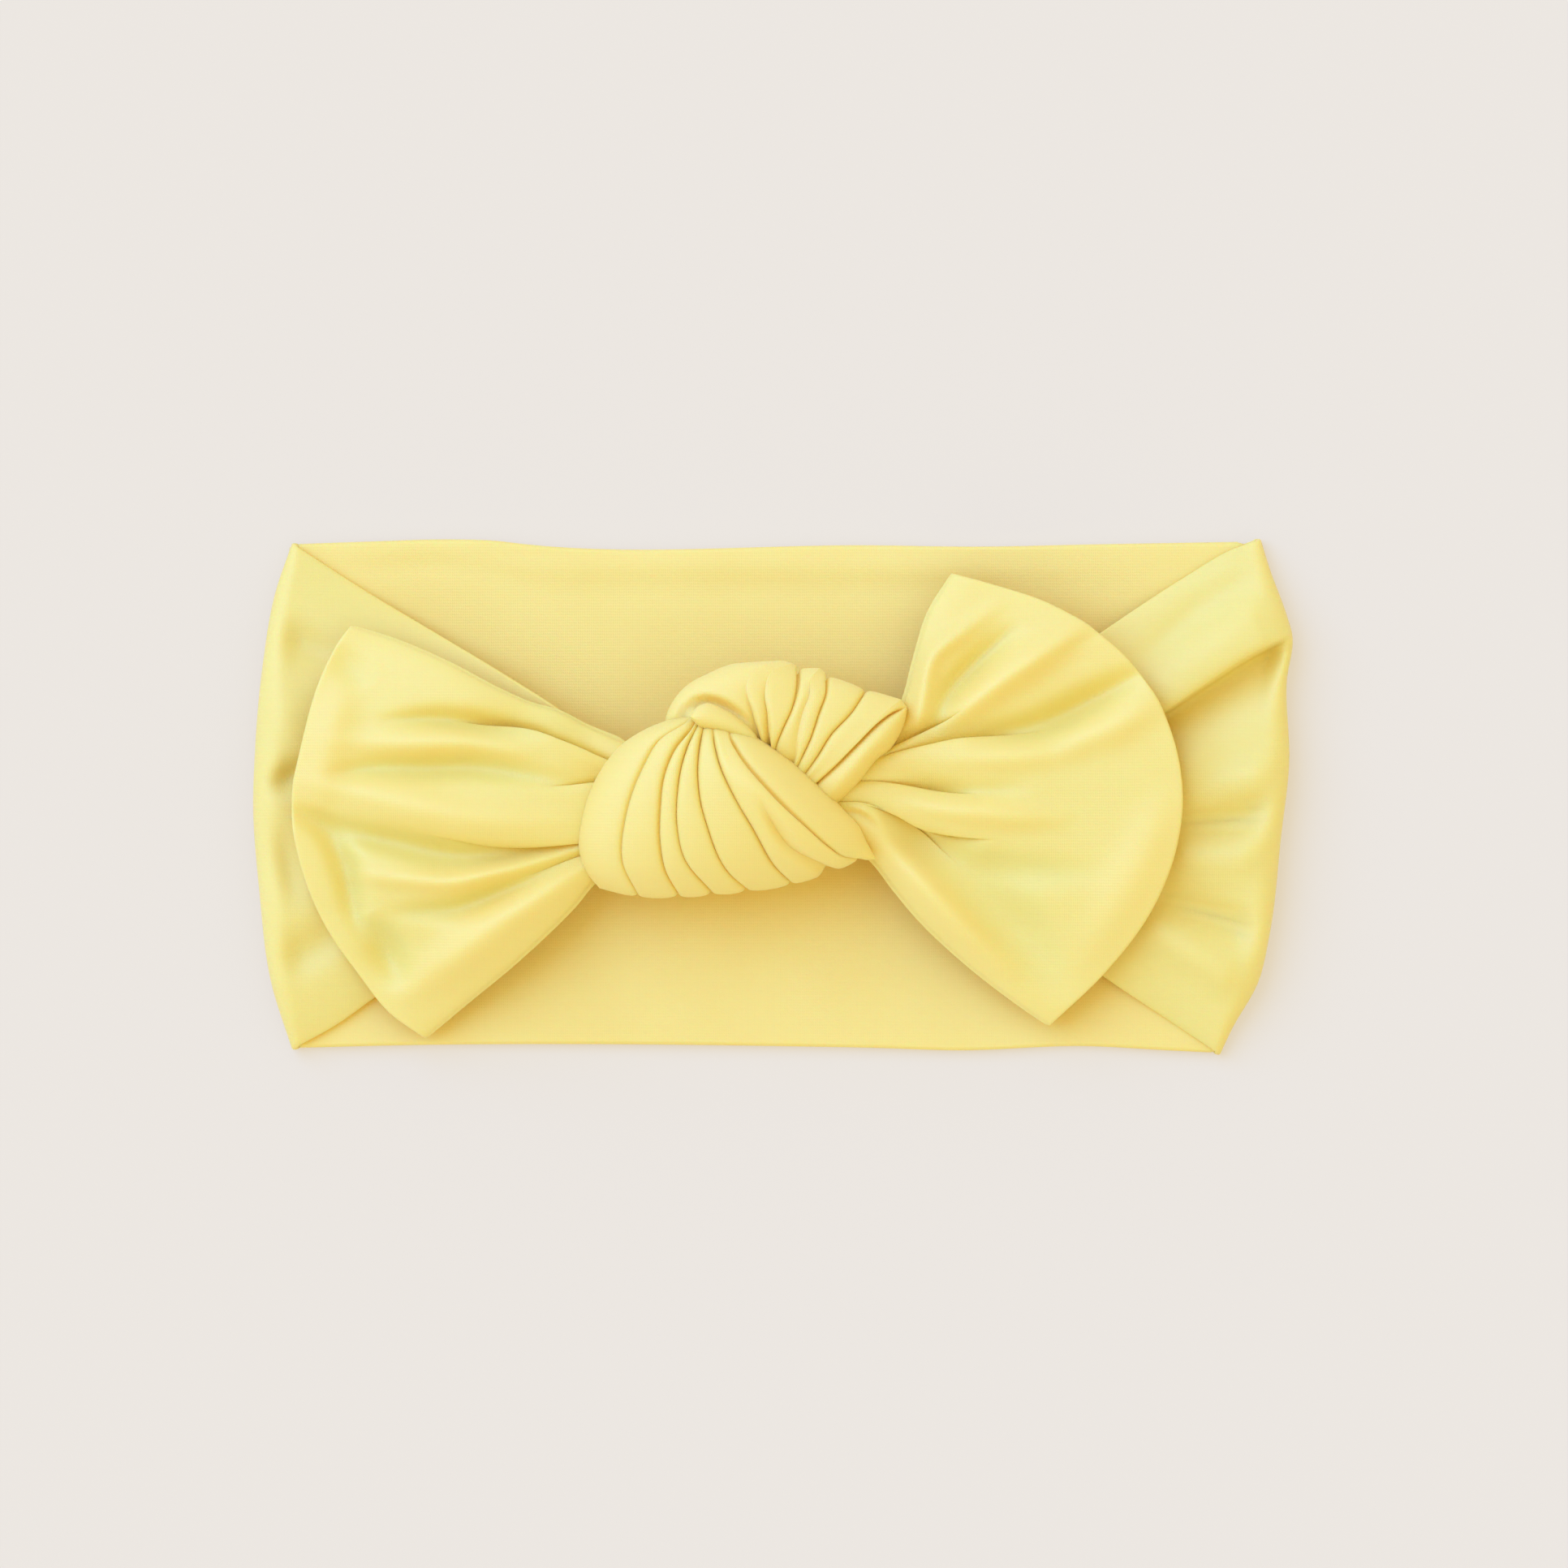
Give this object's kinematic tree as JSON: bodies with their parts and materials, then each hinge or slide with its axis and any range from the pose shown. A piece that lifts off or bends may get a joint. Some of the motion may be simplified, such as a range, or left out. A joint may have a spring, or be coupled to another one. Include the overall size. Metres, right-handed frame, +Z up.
{
  "type": "knotted headband",
  "caption": "Closed soft jersey loop for a baby's head, with a wrapped knot on top and a fanned bow tail on each side of it.",
  "frame": {"origin": "on the table under the middle of the loop, which lies flat with its bow up", "axes": "+X along the flat back panel from the left tail to the right tail, +Y across the panel towards the loop's upper edge, +Z up from the table through the knot"},
  "size_m": [0.1666, 0.081, 0.0261],
  "materials": {
    "jersey_outer": "soft matte knit",
    "jersey_lining": "soft matte knit",
    "sewing_thread": "fine twisted thread"
  },
  "bodies": {
    "back_band": {"back_panel_outer": "jersey_outer", "back_panel_lining": "jersey_lining", "back_panel_top_edge_fold": "jersey_outer", "back_panel_bottom_edge_seam": "jersey_outer", "left_side_fold_outer": "jersey_outer", "left_side_fold_lining": "jersey_lining", "right_side_fold_outer": "jersey_outer", "right_side_fold_lining": "jersey_lining", "left_strap_outer": "jersey_outer", "left_strap_lining": "jersey_lining", "right_strap_outer": "jersey_outer", "right_strap_lining": "jersey_lining", "right_strap_pleat": "jersey_outer"},
    "knot": {"knot_front_loop": "jersey_outer", "knot_rear_loop": "jersey_outer", "knot_inner_roll": "jersey_outer", "knot_left_strand": "jersey_outer", "knot_right_strand": "jersey_outer", "knot_under_wrap": "jersey_outer", "knot_tack_stitches": "sewing_thread"},
    "left_tail": {"left_tail_outer": "jersey_outer", "left_tail_lining": "jersey_lining", "left_tail_edge_seam": "jersey_outer", "left_tail_gather": "jersey_outer"},
    "right_tail": {"right_tail_outer": "jersey_outer", "right_tail_lining": "jersey_lining", "right_tail_edge_seam": "jersey_outer", "right_tail_gather": "jersey_outer"}
  },
  "joints": [
    {"name": "knot_lift", "type": "slide", "parent": "back_band", "child": "knot", "axis": [0, 0, 1], "range_m": [0, 0.045], "stiffness_N_per_m": 25, "deforming": ["left_strap_outer", "left_strap_lining", "right_strap_outer", "right_strap_lining", "right_strap_pleat"]},
    {"name": "left_tail_lift", "type": "hinge", "parent": "knot", "child": "left_tail", "pos_m": [-0.0312, -0.0055, 0.0162], "axis": [0, 1, 0], "range_deg": [0, 75]},
    {"name": "right_tail_lift", "type": "hinge", "parent": "knot", "child": "right_tail", "pos_m": [0.0216, -0.0005, 0.0156], "axis": [0, -1, 0], "range_deg": [0, 75]}
  ]
}
